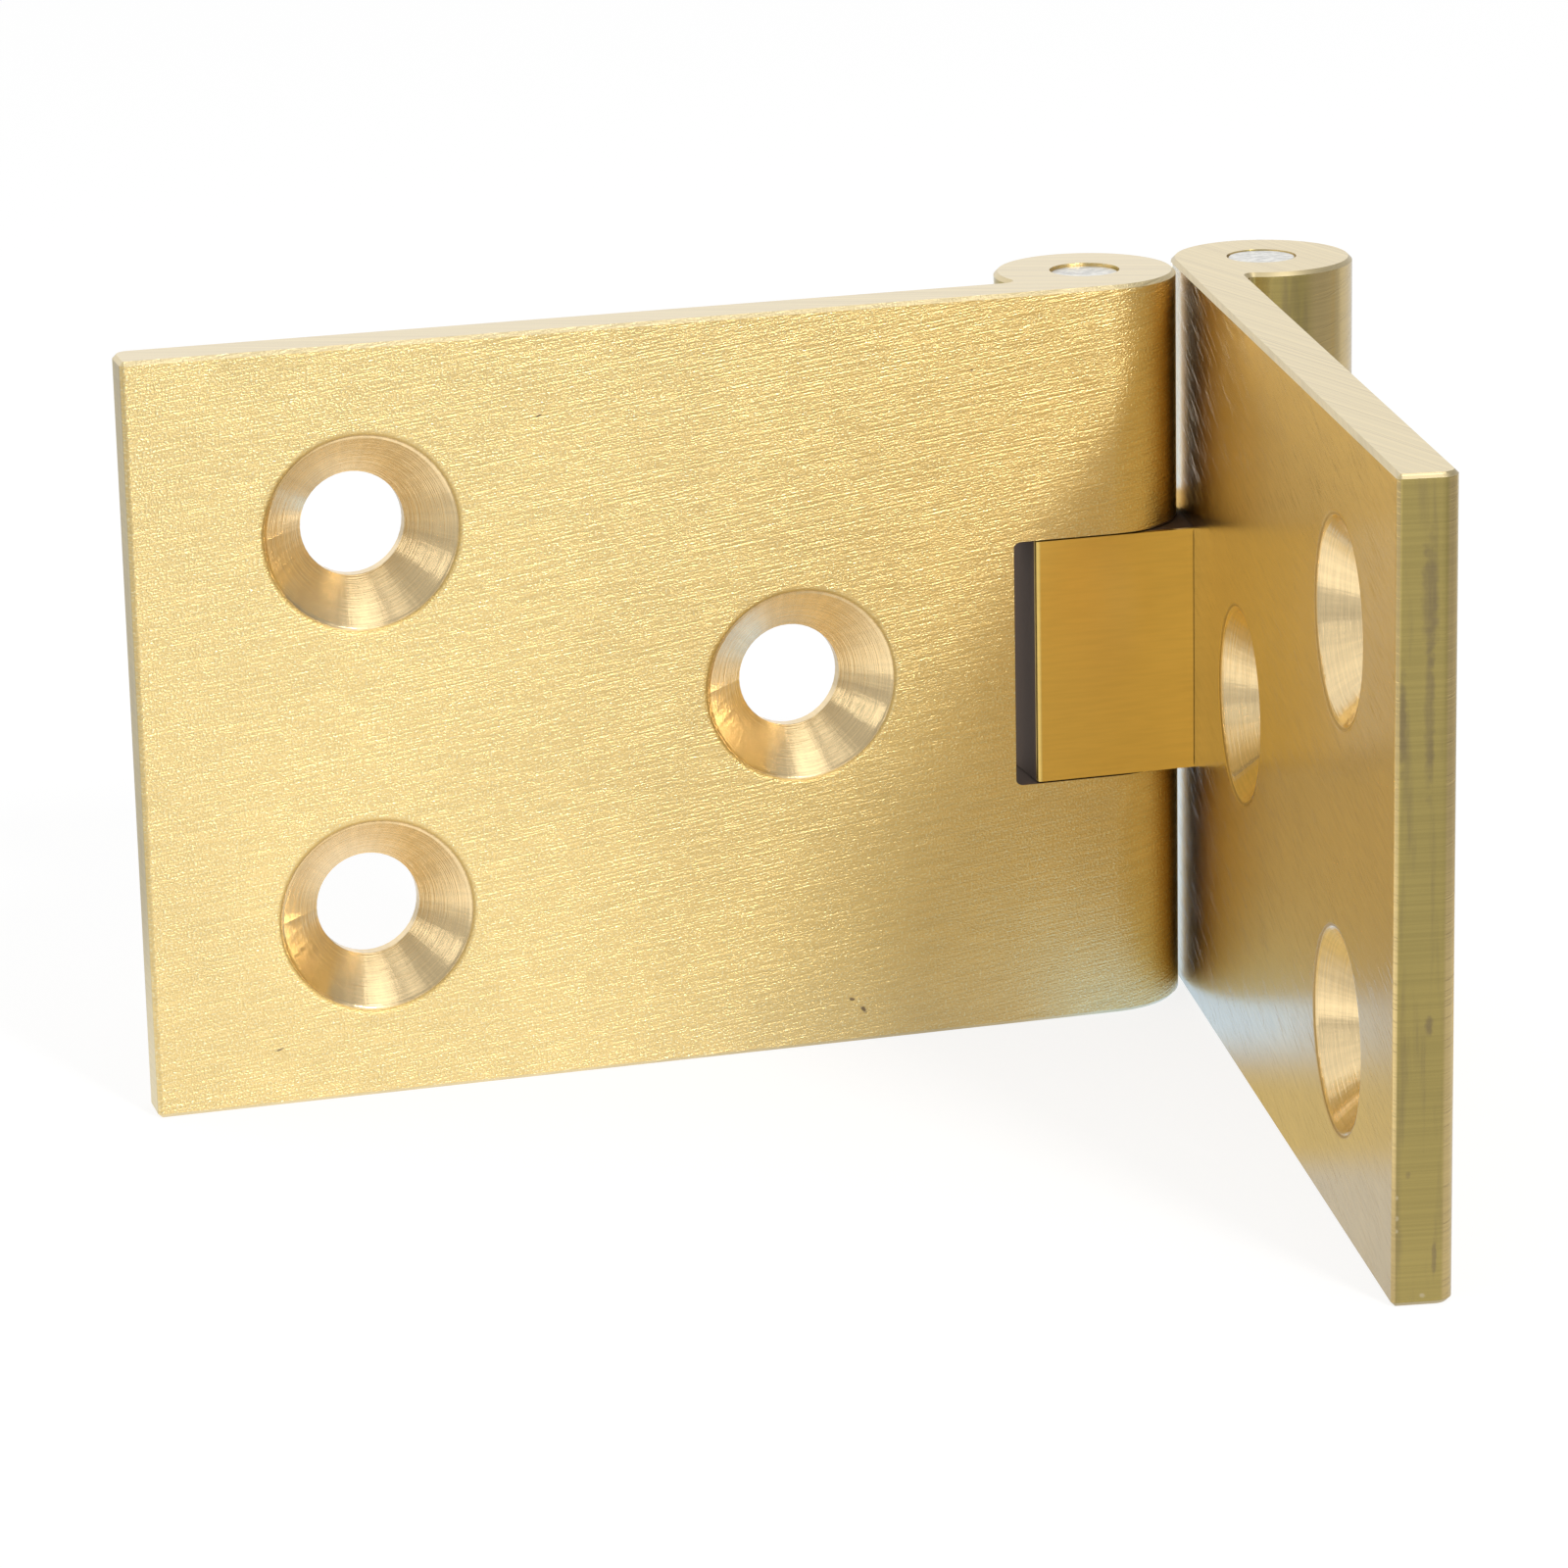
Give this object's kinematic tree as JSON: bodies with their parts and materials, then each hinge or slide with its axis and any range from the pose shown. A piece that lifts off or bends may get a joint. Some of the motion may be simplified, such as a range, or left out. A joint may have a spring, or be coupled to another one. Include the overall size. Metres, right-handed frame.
{
  "type": "double pin table flap hinge",
  "caption": "Brass hinge with two countersunk leaves on a short link, each turning on its own pin, for a counter or table flap.",
  "frame": {"origin": "on the surface it stands on, under the middle of its bounding box", "axes": "+Z along both pins, +X along the fixed leaf from its free end to its pin, -Y the side that the fixed leaf's countersinks face"},
  "size_m": [0.064, 0.0536, 0.038],
  "materials": {
    "leaf_brass": "satin brushed",
    "link_brass": "fine satin",
    "pin_steel": "cut and lightly filed ends"
  },
  "bodies": {
    "fixed_side": {"fixed_leaf": "leaf_brass", "fixed_pin": "pin_steel"},
    "link": {"link": "link_brass"},
    "flap_side": {"flap_leaf": "leaf_brass", "flap_pin": "pin_steel"}
  },
  "joints": [
    {"name": "fixed_pin_turn", "type": "hinge", "parent": "fixed_side", "child": "link", "pos_m": [0.01795, 0.02223, 0.019], "axis": [0, 0, -1], "range_deg": [0, 80.95]},
    {"name": "flap_pin_turn", "type": "hinge", "parent": "link", "child": "flap_side", "pos_m": [0.02745, 0.02223, 0.019], "axis": [0, 0, -1], "range_deg": [-98.55, 0]}
  ]
}
